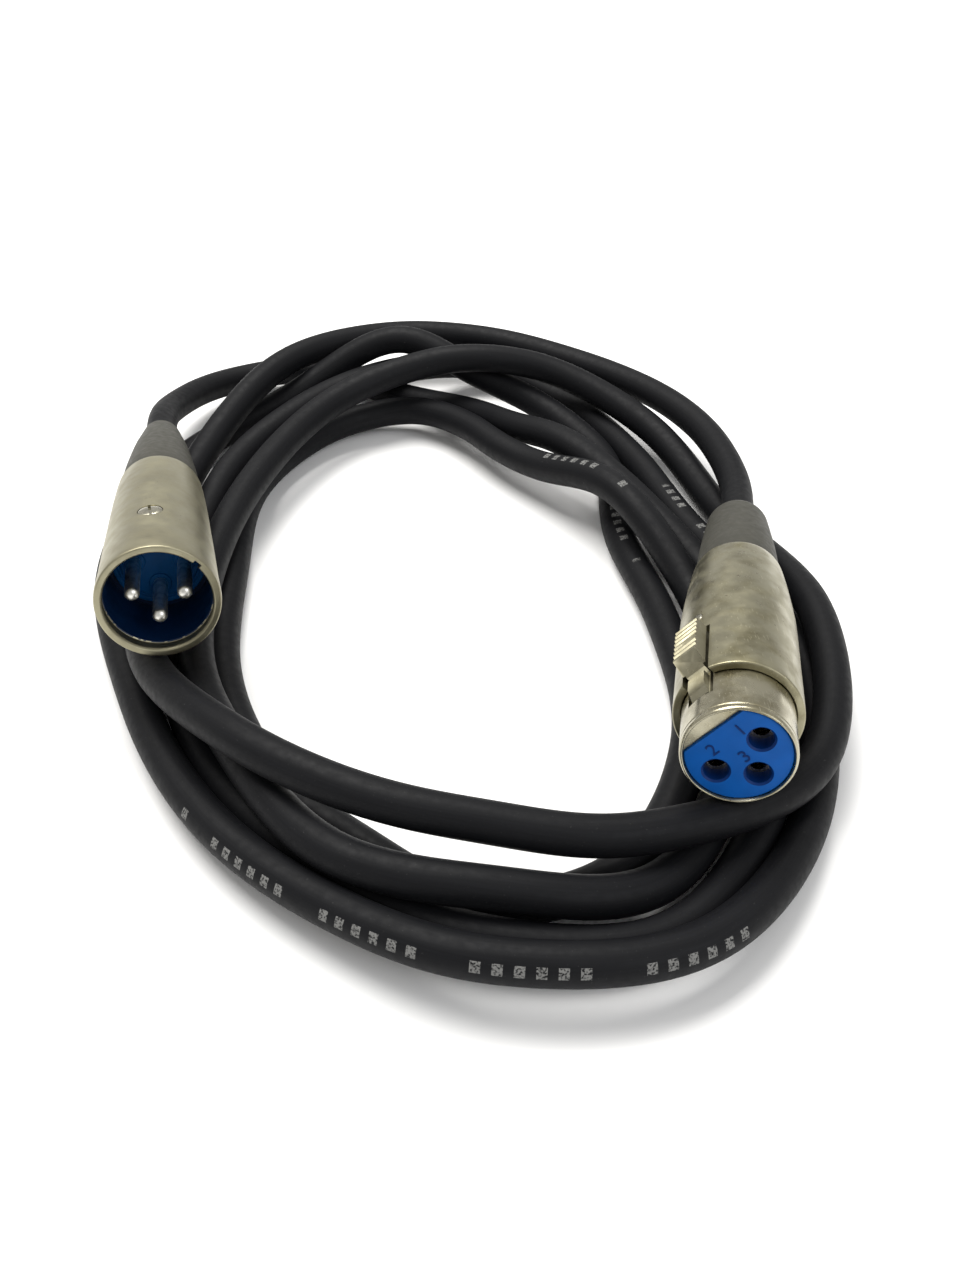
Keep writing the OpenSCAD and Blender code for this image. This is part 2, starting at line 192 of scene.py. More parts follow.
def coil_stations():
    """Points on the oval, clockwise from above, 24 degrees apart."""
    points = []
    for turn, sides in enumerate(SIDE):
        for k, out in enumerate(sides):
            if turn == 0 and k < FIRST_STATION:
                continue
            phi = math.radians(k * STATION_STEP)
            x = -(COIL_HALF_X + out) * math.cos(phi)
            y = (COIL_HALF_Y + out) * math.sin(phi)
            points.append((x, y, HIGH[turn][k]))
    return points


def cord_stations():
    """The whole route in millimetres, from inside one boot to inside the other."""
    start = [on_axis(MALE_M, MALE["length"] + past) / MM for past in (-INSIDE_BOOT, PAST_BOOT)]
    route = [COIL_CENTRE + Vector(p) for p in LEAD_IN + coil_stations() + LEAD_OUT]
    end = [on_axis(FEMALE_M, FEMALE["length"] + past) / MM for past in (PAST_BOOT, -INSIDE_BOOT)]
    return np.array(start + route + end)


def through(points, per_span=24):
    """A Catmull-Rom curve through the points."""
    ends = np.vstack([2 * points[0] - points[1], points, 2 * points[-1] - points[-2]])
    curve = []
    for a, b, c, d in zip(ends, ends[1:], ends[2:], ends[3:]):
        square = 2 * a - 5 * b + 4 * c - d
        cube = 3 * b - a - 3 * c + d
        for t in np.arange(per_span) / per_span:
            curve.append(0.5 * (2 * b + (c - a) * t + square * t**2 + cube * t**3))
    curve.append(points[-1])
    return np.array(curve)


def evenly(points, spacing):
    """The same line with points a fixed distance apart."""
    run = np.r_[0, np.cumsum(np.linalg.norm(np.diff(points, axis=0), axis=1))]
    count = int(round(run[-1] / spacing)) + 1
    at = np.linspace(0, run[-1], count)
    return np.column_stack([np.interp(at, run, points[:, i]) for i in range(3)])


RING_SPACING = 1.0
CORD_SIDES = 28
RELAX_ROUNDS = 30
HELD = 18  # points at each end that relaxing leaves alone


def relaxed(points, rounds):
    """Takes out the small kinks that a stiff jacket would not have; both ends stay where they are."""
    line = points.copy()
    for _ in range(rounds):
        middle = (line[:-2] + 2 * line[1:-1] + line[2:]) / 4
        line[HELD:-HELD] = middle[HELD - 1 : len(middle) - HELD + 1]
    return line


def cord_path():
    """The cord's centreline in millimetres."""
    line = relaxed(evenly(through(cord_stations()), RING_SPACING), RELAX_ROUNDS)
    line[:, 2] = np.maximum(line[:, 2], CABLE_D / 2)
    return evenly(line, RING_SPACING)


def cord_frames(line):
    """Unit vectors along, across and above the cord at each of its points."""
    along = np.gradient(line, axis=0)
    along /= np.linalg.norm(along, axis=1)[:, None]
    across = np.cross(along, [0, 0, 1])
    across /= np.linalg.norm(across, axis=1)[:, None]
    return along, across, np.cross(across, along)


# Where the line of pale bars is: a distance along the cord, and how far round from the top, in degrees,
# towards the outside of the coil. A jacket gets such a twist when it is wound by hand.
BAR_TWIST = [(0, 0), (615, 0), (700, 60), (795, 60), (1000, -10), (2300, -10)]


def cord_mesh(line):
    """A round tube along the line. Its UV map goes once round, with 0.5 on the bars, and along in metres."""
    along, across, up = cord_frames(line)
    run = np.r_[0, np.cumsum(np.linalg.norm(np.diff(line, axis=0), axis=1))]
    twist = np.interp(run, *zip(*BAR_TWIST))
    radius = CABLE_D / 2
    verts = []
    for i, centre in enumerate(line):
        for s in range(CORD_SIDES):
            # a ring starts opposite the bars, which puts them half way round
            a = math.radians(twist[i] + 180 + 360 * s / CORD_SIDES)
            verts.append(centre + radius * (math.cos(a) * up[i] - math.sin(a) * across[i]))
    faces = []
    uvs = []
    for i in range(len(line) - 1):
        ring = i * CORD_SIDES
        beyond = ring + CORD_SIDES
        for s in range(CORD_SIDES):
            n = (s + 1) % CORD_SIDES
            faces.append((ring + s, ring + n, beyond + n, beyond + s))
            u0, u1 = s / CORD_SIDES, (s + 1) / CORD_SIDES
            v0, v1 = run[i] * MM, run[i + 1] * MM
            uvs += [(u0, v0), (u1, v0), (u1, v1), (u0, v1)]
    first = list(range(CORD_SIDES))
    last = [(len(line) - 1) * CORD_SIDES + s for s in range(CORD_SIDES)]
    faces += [first[::-1], last]
    uvs += [(0.0, 0.0)] * (2 * CORD_SIDES)
    return np.array(verts) * MM, faces, uvs


# ------------------------------------------------------------------ mesh helpers


def new_object(name, verts, faces, uvs=None):
    mesh = bpy.data.meshes.new(name)
    mesh.from_pydata([tuple(v) for v in verts], [], faces)
    if uvs is not None:
        layer = mesh.uv_layers.new(name="uv")
        layer.data.foreach_set("uv", np.array(uvs, np.float32).ravel())
    mesh.update()
    obj = bpy.data.objects.new(name, mesh)
    bpy.context.scene.collection.objects.link(obj)
    return obj


def smooth(obj, sharp_degrees=32):
    mesh = obj.data
    mesh.polygons.foreach_set("use_smooth", [True] * len(mesh.polygons))
    mesh.set_sharp_from_angle(angle=math.radians(sharp_degrees))
    mesh.update()


def clean_normals(obj):
    work = bmesh.new()
    work.from_mesh(obj.data)
    bmesh.ops.remove_doubles(work, verts=work.verts, dist=1e-4)
    bmesh.ops.recalc_face_normals(work, faces=work.faces)
    work.to_mesh(obj.data)
    work.free()


def rounded(outline, steps=5):
    """An outline whose corners are eased. Each entry is (radius, depth) or (radius, depth, setback)."""
    points = []
    count = len(outline)
    for i, entry in enumerate(outline):
        corner = Vector(entry[:2])
        setback = entry[2] if len(entry) > 2 else 0
        if not setback:
            points.append(corner)
            continue
        before = Vector(outline[i - 1][:2]) - corner
        after = Vector(outline[(i + 1) % count][:2]) - corner
        start = corner + before.normalized() * min(setback, before.length * 0.49)
        end = corner + after.normalized() * min(setback, after.length * 0.49)
        for k in range(steps + 1):
            t = k / steps
            points.append(start.lerp(corner, t).lerp(corner.lerp(end, t), t))
    return points


def lathe(name, outline, steps=128, centre=(0, 0), matrix=OWN):
    """Spins a closed outline of (radius, depth) about the connector's axis, or about a line beside it."""
    points = rounded(outline)
    verts = []
    faces = []
    uvs = []
    count = len(points)
    run = np.r_[0, np.cumsum([(points[(i + 1) % count] - points[i]).length for i in range(count)])] * MM
    for k in range(steps):
        a = 2 * math.pi * k / steps
        for p in points:
            x = centre[0] + p.x * math.cos(a)
            y = centre[1] + p.x * math.sin(a)
            verts.append(matrix @ Vector((x, y, -p.y)))
    for k in range(steps):
        n = (k + 1) % steps
        for i in range(count):
            j = (i + 1) % count
            if points[i].x < 1e-6 and points[j].x < 1e-6:
                continue
            faces.append((k * count + i, n * count + i, n * count + j, k * count + j))
            u0, u1 = k / steps, (k + 1) / steps
            uvs += [(u0, run[i]), (u1, run[i]), (u1, run[i + 1]), (u0, run[i + 1])]
    obj = new_object(name, verts, faces, uvs)
    clean_normals(obj)
    return obj


def prism(name, outline, low_x, high_x, matrix=OWN):
    """A side view, as (depth, height) points, given a width from low_x to high_x."""
    count = len(outline)
    verts = [matrix @ Vector((x, h, -d)) for x in (low_x, high_x) for d, h in outline]
    faces = [tuple(range(count)), tuple(range(2 * count - 1, count - 1, -1))]
    for i in range(count):
        j = (i + 1) % count
        faces.append((i, j, count + j, count + i))
    obj = new_object(name, verts, faces)
    clean_normals(obj)
    return obj


def block(name, low, high, matrix=OWN):
    """A box between two corners given as (x, height, depth)."""
    outline = [(low[2], low[1]), (high[2], low[1]), (high[2], high[1]), (low[2], high[1])]
    return prism(name, outline, low[0], high[0], matrix)


def rod(name, radius, low, high, matrix, steps=48):
    """A plain cylinder along the matrix's +Y, between two heights."""
    verts = []
    for y in (low, high):
        for k in range(steps):
            a = 2 * math.pi * k / steps
            verts.append(matrix @ Vector((radius * math.cos(a), y, radius * math.sin(a))))
    faces = [tuple(range(steps)), tuple(range(2 * steps - 1, steps - 1, -1))]
    for k in range(steps):
        n = (k + 1) % steps
        faces.append((k, n, steps + n, steps + k))
    obj = new_object(name, verts, faces)
    clean_normals(obj)
    return obj


def boolean(obj, other, operation):
    """Cuts other out of obj, or joins it on, for good."""
    modifier = obj.modifiers.new("cut", "BOOLEAN")
    modifier.operation = operation
    modifier.solver = "EXACT"
    modifier.object = other
    apply_modifiers(obj)
    bpy.data.objects.remove(other)


def apply_modifiers(obj):
    depsgraph = bpy.context.evaluated_depsgraph_get()
    mesh = bpy.data.meshes.new_from_object(obj.evaluated_get(depsgraph), depsgraph=depsgraph)
    obj.modifiers.clear()
    obj.data = mesh


def ease_edges(obj, width, degrees=40, segments=2):
    modifier = obj.modifiers.new("ease", "BEVEL")
    modifier.width = width
    modifier.segments = segments
    modifier.limit_method = "ANGLE"
    modifier.angle_limit = math.radians(degrees)
    modifier.use_clamp_overlap = True
    apply_modifiers(obj)


# ------------------------------------------------------------------ materials


class Paint:
    """Builds one node material. Its textures run on the object's own coordinates in metres, or on its UVs."""

    def __init__(self, name, colour, roughness, metallic=0.0, specular=0.5):
        self.name = name
        self.material = bpy.data.materials.new(name)
        self.material.use_nodes = True
        self.tree = self.material.node_tree
        self.shader = self.tree.nodes["Principled BSDF"]
        self.shader.inputs["Base Color"].default_value = (*colour, 1)
        self.shader.inputs["Roughness"].default_value = roughness
        self.shader.inputs["Metallic"].default_value = metallic
        self.shader.inputs["Specular IOR Level"].default_value = specular
        coordinates = self.tree.nodes.new("ShaderNodeTexCoord")
        self.place = coordinates.outputs["Object"]
        self.uv = coordinates.outputs["UV"]
        self.colour = None
        self.height = None

    def node(self, kind, **settings):
        made = self.tree.nodes.new(kind)
        for key, value in settings.items():
            setattr(made, key, value)
        return made

    def link(self, source, target):
        self.tree.links.new(source, target)

    def maths(self, operation, a, b=None):
        made = self.node("ShaderNodeMath", operation=operation)
        for socket, value in zip(made.inputs, (a, b)):
            if value is None:
                continue
            if isinstance(value, (int, float)):
                socket.default_value = value
            else:
                self.link(value, socket)
        return made.outputs[0]

    def stripes(self, along, pitch, width):
        """1 on the first part of every pitch, and 0 on the rest."""
        return self.maths("LESS_THAN", self.maths("FRACT", self.maths("DIVIDE", along, pitch)), width)

    def stretched(self, source, scale):
        mapping = self.node("ShaderNodeMapping")
        mapping.inputs["Scale"].default_value = scale
        self.link(source, mapping.inputs["Vector"])
        return mapping.outputs[0]

    def noise(self, scale, detail=3.0, source=None, rough=0.5):
        made = self.node("ShaderNodeTexNoise")
        made.inputs["Scale"].default_value = scale
        made.inputs["Detail"].default_value = detail
        made.inputs["Roughness"].default_value = rough
        self.link(source or self.place, made.inputs["Vector"])
        return made.outputs[0]

    def between(self, value, low, high, out_low=0.0, out_high=1.0):
        made = self.node("ShaderNodeMapRange")
        for name, number in zip(("From Min", "From Max", "To Min", "To Max"), (low, high, out_low, out_high)):
            made.inputs[name].default_value = number
        self.link(value, made.inputs["Value"])
        return made.outputs[0]

    def blend(self, mask, colour):
        """Lays a colour over what is there, where the mask is 1."""
        mix = self.node("ShaderNodeMix", data_type="RGBA")
        if self.colour is None:
            mix.inputs[6].default_value = self.shader.inputs["Base Color"].default_value
        else:
            self.link(self.colour, mix.inputs[6])
        mix.inputs[7].default_value = (*colour, 1)
        self.link(mask, mix.inputs[0])
        self.colour = mix.outputs[2]
        self.link(self.colour, self.shader.inputs["Base Color"])

    def roughen(self, value):
        self.link(value, self.shader.inputs["Roughness"])

    def bump(self, value, strength, distance):
        """Adds a bump layer on top of those before it."""
        made = self.node("ShaderNodeBump")
        made.inputs["Strength"].default_value = strength
        made.inputs["Distance"].default_value = distance
        self.link(value, made.inputs["Height"])
        if self.height is not None:
            self.link(self.height, made.inputs["Normal"])
        self.height = made.outputs[0]
        self.link(self.height, self.shader.inputs["Normal"])


def satin_nickel(name, colour, dark, rough):
    """Nickel plate over a blasted casting: a fine grain, faint clouds and small dark specks."""
    paint = Paint(name, colour, rough, metallic=1.0)
    clouds = paint.noise(140, 4)
    paint.blend(paint.between(clouds, 0.42, 0.72), dark)
    specks = paint.noise(2600, 2)
    paint.blend(paint.between(specks, 0.70, 0.78), tuple(c * 0.55 for c in dark))
    paint.roughen(paint.between(paint.noise(420, 5), 0.3, 0.7, rough - 0.05, rough + 0.09))
    paint.bump(paint.noise(5200, 2), 0.22, 0.00003)
    return paint


def scuffed_nickel(name, colour, dark, rough):
    """Smoother plate with wear: long hair scratches, worn patches and brownish pits."""
    paint = Paint(name, colour, rough, metallic=1.0)
    paint.blend(paint.between(paint.noise(190, 6, rough=0.6), 0.45, 0.70), dark)
    hair = paint.noise(1.0, 2, paint.stretched(paint.place, (5200, 260, 5200)))
    paint.blend(paint.between(hair, 0.64, 0.72), tuple(min(1.0, c * 1.35) for c in colour))
    pits = paint.noise(1500, 2)
    paint.blend(paint.between(pits, 0.71, 0.77), (0.10, 0.075, 0.045))
    paint.roughen(paint.between(paint.noise(330, 6), 0.3, 0.7, rough - 0.08, rough + 0.14))
    paint.bump(hair, 0.12, 0.00002)
    paint.bump(paint.noise(3900, 3), 0.10, 0.00002)
    return paint


def moulded(name, colour, shade, rough, specular=0.5):
    """Injection-moulded plastic: flow clouds in the colour and a very fine skin."""
    paint = Paint(name, colour, rough, specular=specular)
    paint.blend(paint.between(paint.noise(260, 4), 0.35, 0.75), shade)
    paint.roughen(paint.between(paint.noise(700, 3), 0.3, 0.7, rough - 0.05, rough + 0.08))
    paint.bump(paint.noise(3000, 3), 0.10, 0.00002)
    return paint


def boot_rubber():
    """Soft grey rubber with dust in its grain."""
    paint = Paint("boot_rubber", (0.048, 0.047, 0.039), 0.60, specular=0.20)
    paint.blend(paint.between(paint.noise(420, 6, rough=0.6), 0.45, 0.75), (0.060, 0.058, 0.048))
    paint.blend(paint.between(paint.noise(3600, 2), 0.68, 0.76), (0.12, 0.115, 0.10))
    paint.roughen(paint.between(paint.noise(900, 4), 0.3, 0.7, 0.5, 0.68))
    paint.bump(paint.noise(4200, 3), 0.10, 0.00002)
    return paint


# The pale bars and the groups that they come in: pitches in metres, widths as parts of a pitch or of a turn.
BAR_PITCH = 0.0026
BAR_WIDTH = 0.50
BAR_HALF_TALL = 0.042
GROUP_PITCH = 0.0208
GROUP_WIDTH = 0.70


def jacket_pvc():
    """Matt charcoal PVC: lengthwise drawing lines, dust, and rows of pale bars."""
    paint = Paint("jacket_pvc", (0.0050, 0.0052, 0.0062), 0.55, specular=0.12)
    drawn = paint.noise(1.0, 3, paint.stretched(paint.uv, (60, 90, 1)))
    paint.blend(paint.between(drawn, 0.35, 0.8), (0.0074, 0.0076, 0.0090))
    paint.blend(paint.between(paint.noise(2900, 2), 0.70, 0.79), (0.030, 0.030, 0.030))
    split = paint.node("ShaderNodeSeparateXYZ")
    paint.link(paint.uv, split.inputs[0])
    round_, along = split.outputs[0], split.outputs[1]
    off_middle = paint.maths("ABSOLUTE", paint.maths("SUBTRACT", round_, 0.5))
    tall = paint.maths("LESS_THAN", off_middle, BAR_HALF_TALL)
    bar = paint.stripes(along, BAR_PITCH, BAR_WIDTH)
    group = paint.stripes(along, GROUP_PITCH, GROUP_WIDTH)
    shown = paint.node("ShaderNodeAttribute", attribute_name="marked")
    grouped = paint.maths("MULTIPLY", group, shown.outputs[2])
    mask = paint.maths("MULTIPLY", paint.maths("MULTIPLY", tall, bar), grouped)
    worn = paint.between(paint.noise(3400, 3), 0.38, 0.54)
    paint.blend(paint.maths("MULTIPLY", mask, worn), (0.17, 0.17, 0.165))
    paint.roughen(paint.between(paint.noise(800, 4), 0.3, 0.7, 0.48, 0.62))
    paint.bump(drawn, 0.25, 0.00002)
    paint.bump(paint.noise(4800, 2), 0.12, 0.00002)
    return paint


def soft_metal(name, colour, rough):
    """Small turned or drawn metal pieces: faint darker clouds and a fine grain."""
    paint = Paint(name, colour, rough, metallic=1.0)
    paint.blend(paint.between(paint.noise(900, 4), 0.45, 0.7), tuple(c * 0.72 for c in colour))
    paint.roughen(paint.between(paint.noise(1500, 3), 0.3, 0.7, rough - 0.04, rough + 0.08))
    paint.bump(paint.noise(5000, 2), 0.08, 0.00002)
    return paint


NICKEL = (0.315, 0.295, 0.205)

PAINTS = {paint.name: paint for paint in (
    satin_nickel("satin_nickel", NICKEL, (0.250, 0.230, 0.155), 0.42),
    scuffed_nickel("worn_nickel", NICKEL, (0.19, 0.17, 0.095), 0.34),
    scuffed_nickel("bright_nickel", (0.40, 0.375, 0.28), (0.22, 0.195, 0.12), 0.24),
    scuffed_nickel("latch_nickel", (0.30, 0.28, 0.20), (0.18, 0.16, 0.095), 0.46),
    # The male shell's own metal inside its mouth: its dark navy is a painted reflection of the navy insert,
    # darkened as painted shade in the bore, made with the plastic recipe.
    moulded("bore_painted_reflection", (0.0008, 0.009, 0.036), (0.0010, 0.012, 0.048), 0.36, specular=0.30),
    soft_metal("pin_silver", (0.80, 0.79, 0.74), 0.34),
    soft_metal("contact_silver", (0.62, 0.58, 0.50), 0.22),
    soft_metal("screw_steel", (0.44, 0.42, 0.34), 0.24),
    soft_metal("spring_bronze", (0.55, 0.36, 0.18), 0.28),
    moulded("navy_plastic", (0.0015, 0.070, 0.230), (0.0020, 0.085, 0.280), 0.40, specular=0.12),
    moulded("blue_plastic", (0.0005, 0.078, 0.330), (0.0008, 0.095, 0.400), 0.45, specular=0.15),
    # A darker copy of blue_plastic: painted shade, on the walls of the entry holes and on the moulded
    # numbers.
    moulded("blue_painted_shade", (0.0004, 0.020, 0.110), (0.0005, 0.026, 0.140), 0.45, specular=0.15),
    moulded("clamp_plastic", (0.62, 0.61, 0.55), (0.54, 0.53, 0.47), 0.45),
    moulded("wire_insulation_1", (0.60, 0.60, 0.57), (0.50, 0.50, 0.47), 0.40),
    moulded("wire_insulation_2", (0.45, 0.03, 0.02), (0.35, 0.02, 0.015), 0.40),
    moulded("wire_insulation_3", (0.02, 0.02, 0.022), (0.035, 0.035, 0.038), 0.40),
    boot_rubber(),
    jacket_pvc(),
)}


def dress(obj, *names):
    """Gives a new piece its materials."""
    obj.data.materials.clear()
    for name in names:
        obj.data.materials.append(PAINTS[name].material)


def finish_piece(obj, names, node, matrix, body="lead"):
    """Moves a new piece from its connector's own millimetres into place, gives it its materials, hangs it on
    its body, and hides the CAD part that it stands for, if one is given.
    """
    obj.data.transform(matrix)
    dress(obj, *names)
    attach(obj, body)
    if node:
        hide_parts(node)


def use_second(obj, matrix, chosen):
    """Gives the second material to the faces whose middle, as x, y and depth in its connector, is chosen."""
    own = matrix.inverted()
    for face in obj.data.polygons:
        x, y, z = own @ face.center
        if chosen(x, y, -z):
            face.material_index = 1


# ------------------------------------------------------------------ the cord, made

# Stretches of the cord that carry pale bars, as distances along it in millimetres.
BARRED = [(588, 614), (702, 793), (1035, 1062), (1372, 1396)]


def make_cord():
    line = cord_path()
    verts, faces, uvs = cord_mesh(line)
    cord = new_object("cable", verts, faces, uvs)
    run = np.arange(len(line)) * RING_SPACING
    marked = np.zeros(len(line), np.float32)
    for start, end in BARRED:
        marked[(run > start) & (run < end)] = 1
    layer = cord.data.attributes.new("marked", "FLOAT", "POINT")
    layer.data.foreach_set("value", np.repeat(marked, CORD_SIDES))
    smooth(cord, 60)
    dress(cord, "jacket_pvc")
    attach(cord, "lead")
    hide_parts("cable_jacket")


make_cord()

# ------------------------------------------------------------------ male connector

MALE_FACE = 14.4
MOUTH_R = 8.3
MOUTH_FRONT = 2.5
MOUTH_BACK = 14.6
PIN_R = 1.18
PIN_TIP = 2.4
DOME_DEEP = 1.05
MALE_SCREW_DEPTH = 15.0
KEYWAY_ANGLE = -50.0


def in_mouth(x, y, depth):
    """True on the inside of the male shell's mouth, behind its bright rim: the faces that take the painted
    reflection of the insert.
    """
    return math.hypot(x, y) < MOUTH_R and MOUTH_FRONT < depth < MOUTH_BACK + 0.1


def make_male_shell():
    shell = lathe("male_shell_skin", [
        (8.45, 0, 0.12), (9.42, 0, 0.3), (9.48, 1.2), (9.2, 6), (9.03, 10.5), (8.85, 15), (8.68, 19),
        (8.5, 23), (8.36, 26.5), (8.2, 30), (8.02, 33.5), (7.8, 37), (7.62, 39.8), (7.4, 42.2, 0.5),
        (7.05, 43, 0.25), (6.6, 43), (6.6, 31), (7.55, 28.5), (7.55, MOUTH_BACK), (8.15, MOUTH_BACK),
        (8.15, 2.6, 0.1), (8.42, 2.4, 0.1), (8.42, 1.3, 0.1), (8.18, 1.1, 0.1), (8.18, 0.4, 0.15),
    ])
    seat = Matrix.Translation((0, 0, -MALE_SCREW_DEPTH))
    boolean(shell, rod("seat", 2.05, 7.9, 12, seat), "DIFFERENCE")
    boolean(shell, rod("hole", 1.25, 6, 9, seat), "DIFFERENCE")
    keyway = Matrix.Rotation(math.radians(KEYWAY_ANGLE), 4, "Z")
    boolean(shell, block("keyway", (-0.65, 7.6, -1), (0.65, 8.95, 1.5), keyway), "DIFFERENCE")
    smooth(shell)
    finish_piece(shell, ["satin_nickel", "bore_painted_reflection"], "male_shell", MALE_M)
    # The inside of the mouth gets the painted reflection of the insert, with its painted shade.
    use_second(shell, MALE_M, in_mouth)


def make_male_insert():
    insert = lathe("male_insert_face", [
        (0, MALE_FACE), (6.1, MALE_FACE), (6.3, MALE_FACE + 0.35, 0.1), (6.6, MALE_FACE + 0.35, 0.1),
        (6.8, MALE_FACE, 0.1), (7.5, MALE_FACE, 0.25), (7.5, 28, 0.3), (0, 28),
    ])
    for angle in MALE_ANGLES:
        x, y = contact_place(angle)
        collar = lathe("collar", [
            (0, MALE_FACE - 0.25), (1.75, MALE_FACE - 0.25, 0.12),
            (1.95, MALE_FACE + 0.3), (0, MALE_FACE + 0.3),
        ], 48, (x, y))
        boolean(insert, collar, "UNION")
    smooth(insert)
    finish_piece(insert, ["navy_plastic"], "male_insert", MALE_M)


def make_male_pin(number, angle):
    """A pin with its domed tip; its wider solder cup is at the back."""
    quarter = np.linspace(0, math.pi / 2, 10)
    dome = [(PIN_R * math.sin(a), PIN_TIP + DOME_DEEP * (1 - math.cos(a))) for a in quarter]
    cup = [(PIN_R, 28.05), (1.6, 28.05), (1.6, 33.05), (1.0, 33.05), (1.0, 29.5), (0, 29.5)]
    outline = [(0, PIN_TIP)] + dome[1:] + cup
    pin = lathe(f"male_pin_{number}_body", outline, 48, contact_place(angle))
    smooth(pin)
    finish_piece(pin, ["pin_silver"], f"male_pin_{number}", MALE_M)


def slotted_screw(name, matrix, head_r, top, low, slot_w, slot_deep, turn):
    """A screw whose domed head is up to +Y of the frame."""
    upright = matrix @ Matrix.Rotation(math.radians(90), 4, "X")
    screw = lathe(name, [
        (0, top), (head_r * 0.55, top - 0.04), (head_r * 0.85, top - 0.14), (head_r, top - 0.34, 0.08),
        (head_r, top - 0.8), (head_r * 0.63, top - 0.8), (head_r * 0.63, low), (0, low),
    ], 64, matrix=upright)
    across = matrix @ Matrix.Rotation(math.radians(turn), 4, "Y")
    slot = block("slot", (-slot_w / 2, top - slot_deep, -4), (slot_w / 2, top + 1, 4), across)
    boolean(screw, slot, "DIFFERENCE")
    smooth(screw)
    return screw


def make_male_screw():
    seat = Matrix.Translation((0, 0, -MALE_SCREW_DEPTH))
    screw = slotted_screw("male_screw_head", seat, 1.97, 8.88, 5.8, 0.45, 0.55, 5)
    finish_piece(screw, ["screw_steel"], "male_set_screw", MALE_M)


def make_boot(name, outline, matrix, node):
    boot = lathe(name, outline, 96)
    smooth(boot)
    finish_piece(boot, ["boot_rubber"], node, matrix)


make_male_shell()
make_male_insert()
for number, angle in enumerate(MALE_ANGLES, 1):
    make_male_pin(number, angle)
make_male_screw()
make_boot("male_boot_sleeve", [
    (3.06, 39), (6.5, 39), (6.5, 43.1), (6.98, 43.1, 0.2), (6.85, 46), (6.6, 49.5), (6.25, 53), (5.9, 56.3),
    (5.5, 59.7), (5.1, 62.8), (4.6, 65.8), (4.2, 68.2), (3.85, 70.4), (3.6, 71.8, 0.2), (3.06, 72, 0.1),
], MALE_M, "male_boot")

# ------------------------------------------------------------------ female connector

SLEEVE_FRONT = 9.3
NOTCH_HALF = 2.35
NOTCH_BACK = 21.2
SLOT_HALF = 2.2
INSERT_FLAT = 4.95
TOOTH_FRONT = 5.6
FEMALE_SCREW_DEPTH = 25.0


def make_female_sleeve():
    sleeve = lathe("female_sleeve_skin", [
        (7.95, SLEEVE_FRONT, 0.15), (9.08, SLEEVE_FRONT, 0.3), (9.1, 11), (9.06, 15), (9.0, 20),
        (8.97, 25), (8.93, 30), (8.82, 33.5), (8.6, 37), (8.42, 39.5), (8.2, 42), (7.96, 44.5),
        (7.7, 47), (7.45, 49, 0.5), (7.1, 50, 0.3), (6.6, 50), (6.6, 38), (7.95, 33),
    ])
    notch = block("notch", (-NOTCH_HALF, 5, -2), (NOTCH_HALF, 12, NOTCH_BACK))
    boolean(sleeve, notch, "DIFFERENCE")
    seat = Matrix.Translation((0, 0, -FEMALE_SCREW_DEPTH))
    boolean(sleeve, rod("seat", 1.05, 7, 12, seat), "DIFFERENCE")
    smooth(sleeve)
    finish_piece(sleeve, ["worn_nickel"], "female_sleeve", FEMALE_M)


def make_female_nose():
    nose = lathe("female_nose_barrel", [
        (7.25, 0.45, 0.1), (7.4, 0, 0.12), (7.62, 0, 0.15), (7.85, 0.35, 0.2), (7.85, 0.95, 0.08),
        (7.77, 1.05, 0.05), (7.77, 1.2, 0.05), (7.85, 1.3, 0.08), (7.85, 32), (7.25, 32),
    ])
    plate = lathe("plate", [(0, 0.9), (7.4, 0.9), (7.4, 5.0), (0, 5.0)])
    boolean(plate, block("flat", (-9, -9, 0), (9, INSERT_FLAT + 0.05, 9)), "DIFFERENCE")
    boolean(nose, plate, "UNION")
    slot = block("slot", (-SLOT_HALF, INSERT_FLAT, 5.1), (SLOT_HALF, 12, 33))
    boolean(nose, slot, "DIFFERENCE")
    smooth(nose)
    finish_piece(nose, ["bright_nickel"], "female_nose", FEMALE_M)


INSERT_FACE = 0.35
HOLE_R = 2.15
DIGIT_PLACES = {"1": (2.9, 2.9), "2": (-2.0, 2.8), "3": (0.5, -0.7)}
DIGIT_TALL = 2.7
DIGIT_RAISED = 0.10


def digit(text, x, y):
    """A shallow moulded contact number on the insert's face."""
    curve = bpy.data.curves.new("digit", "FONT")
    curve.body = text
    curve.size = DIGIT_TALL
    curve.extrude = DIGIT_RAISED
    curve.align_x = "CENTER"
    curve.align_y = "CENTER"
    shown = bpy.data.objects.new("digit", curve)
    bpy.context.scene.collection.objects.link(shown)
    bpy.context.view_layer.update()
    mesh = bpy.data.meshes.new_from_object(shown)
    bpy.data.objects.remove(shown)
    mesh.transform(Matrix.Translation((x, y, -INSERT_FACE - 0.01)))
    obj = bpy.data.objects.new(f"contact_number_{text}", mesh)
    bpy.context.scene.collection.objects.link(obj)
    return obj


def in_hole(x, y, depth):
    """True on the walls of the three entry holes, which take the painted shade."""
    places = [contact_place(angle) for angle in FEMALE_ANGLES]
    near = any(math.hypot(x - px, y - py) < HOLE_R for px, py in places)
    return near and depth > INSERT_FACE + 0.02


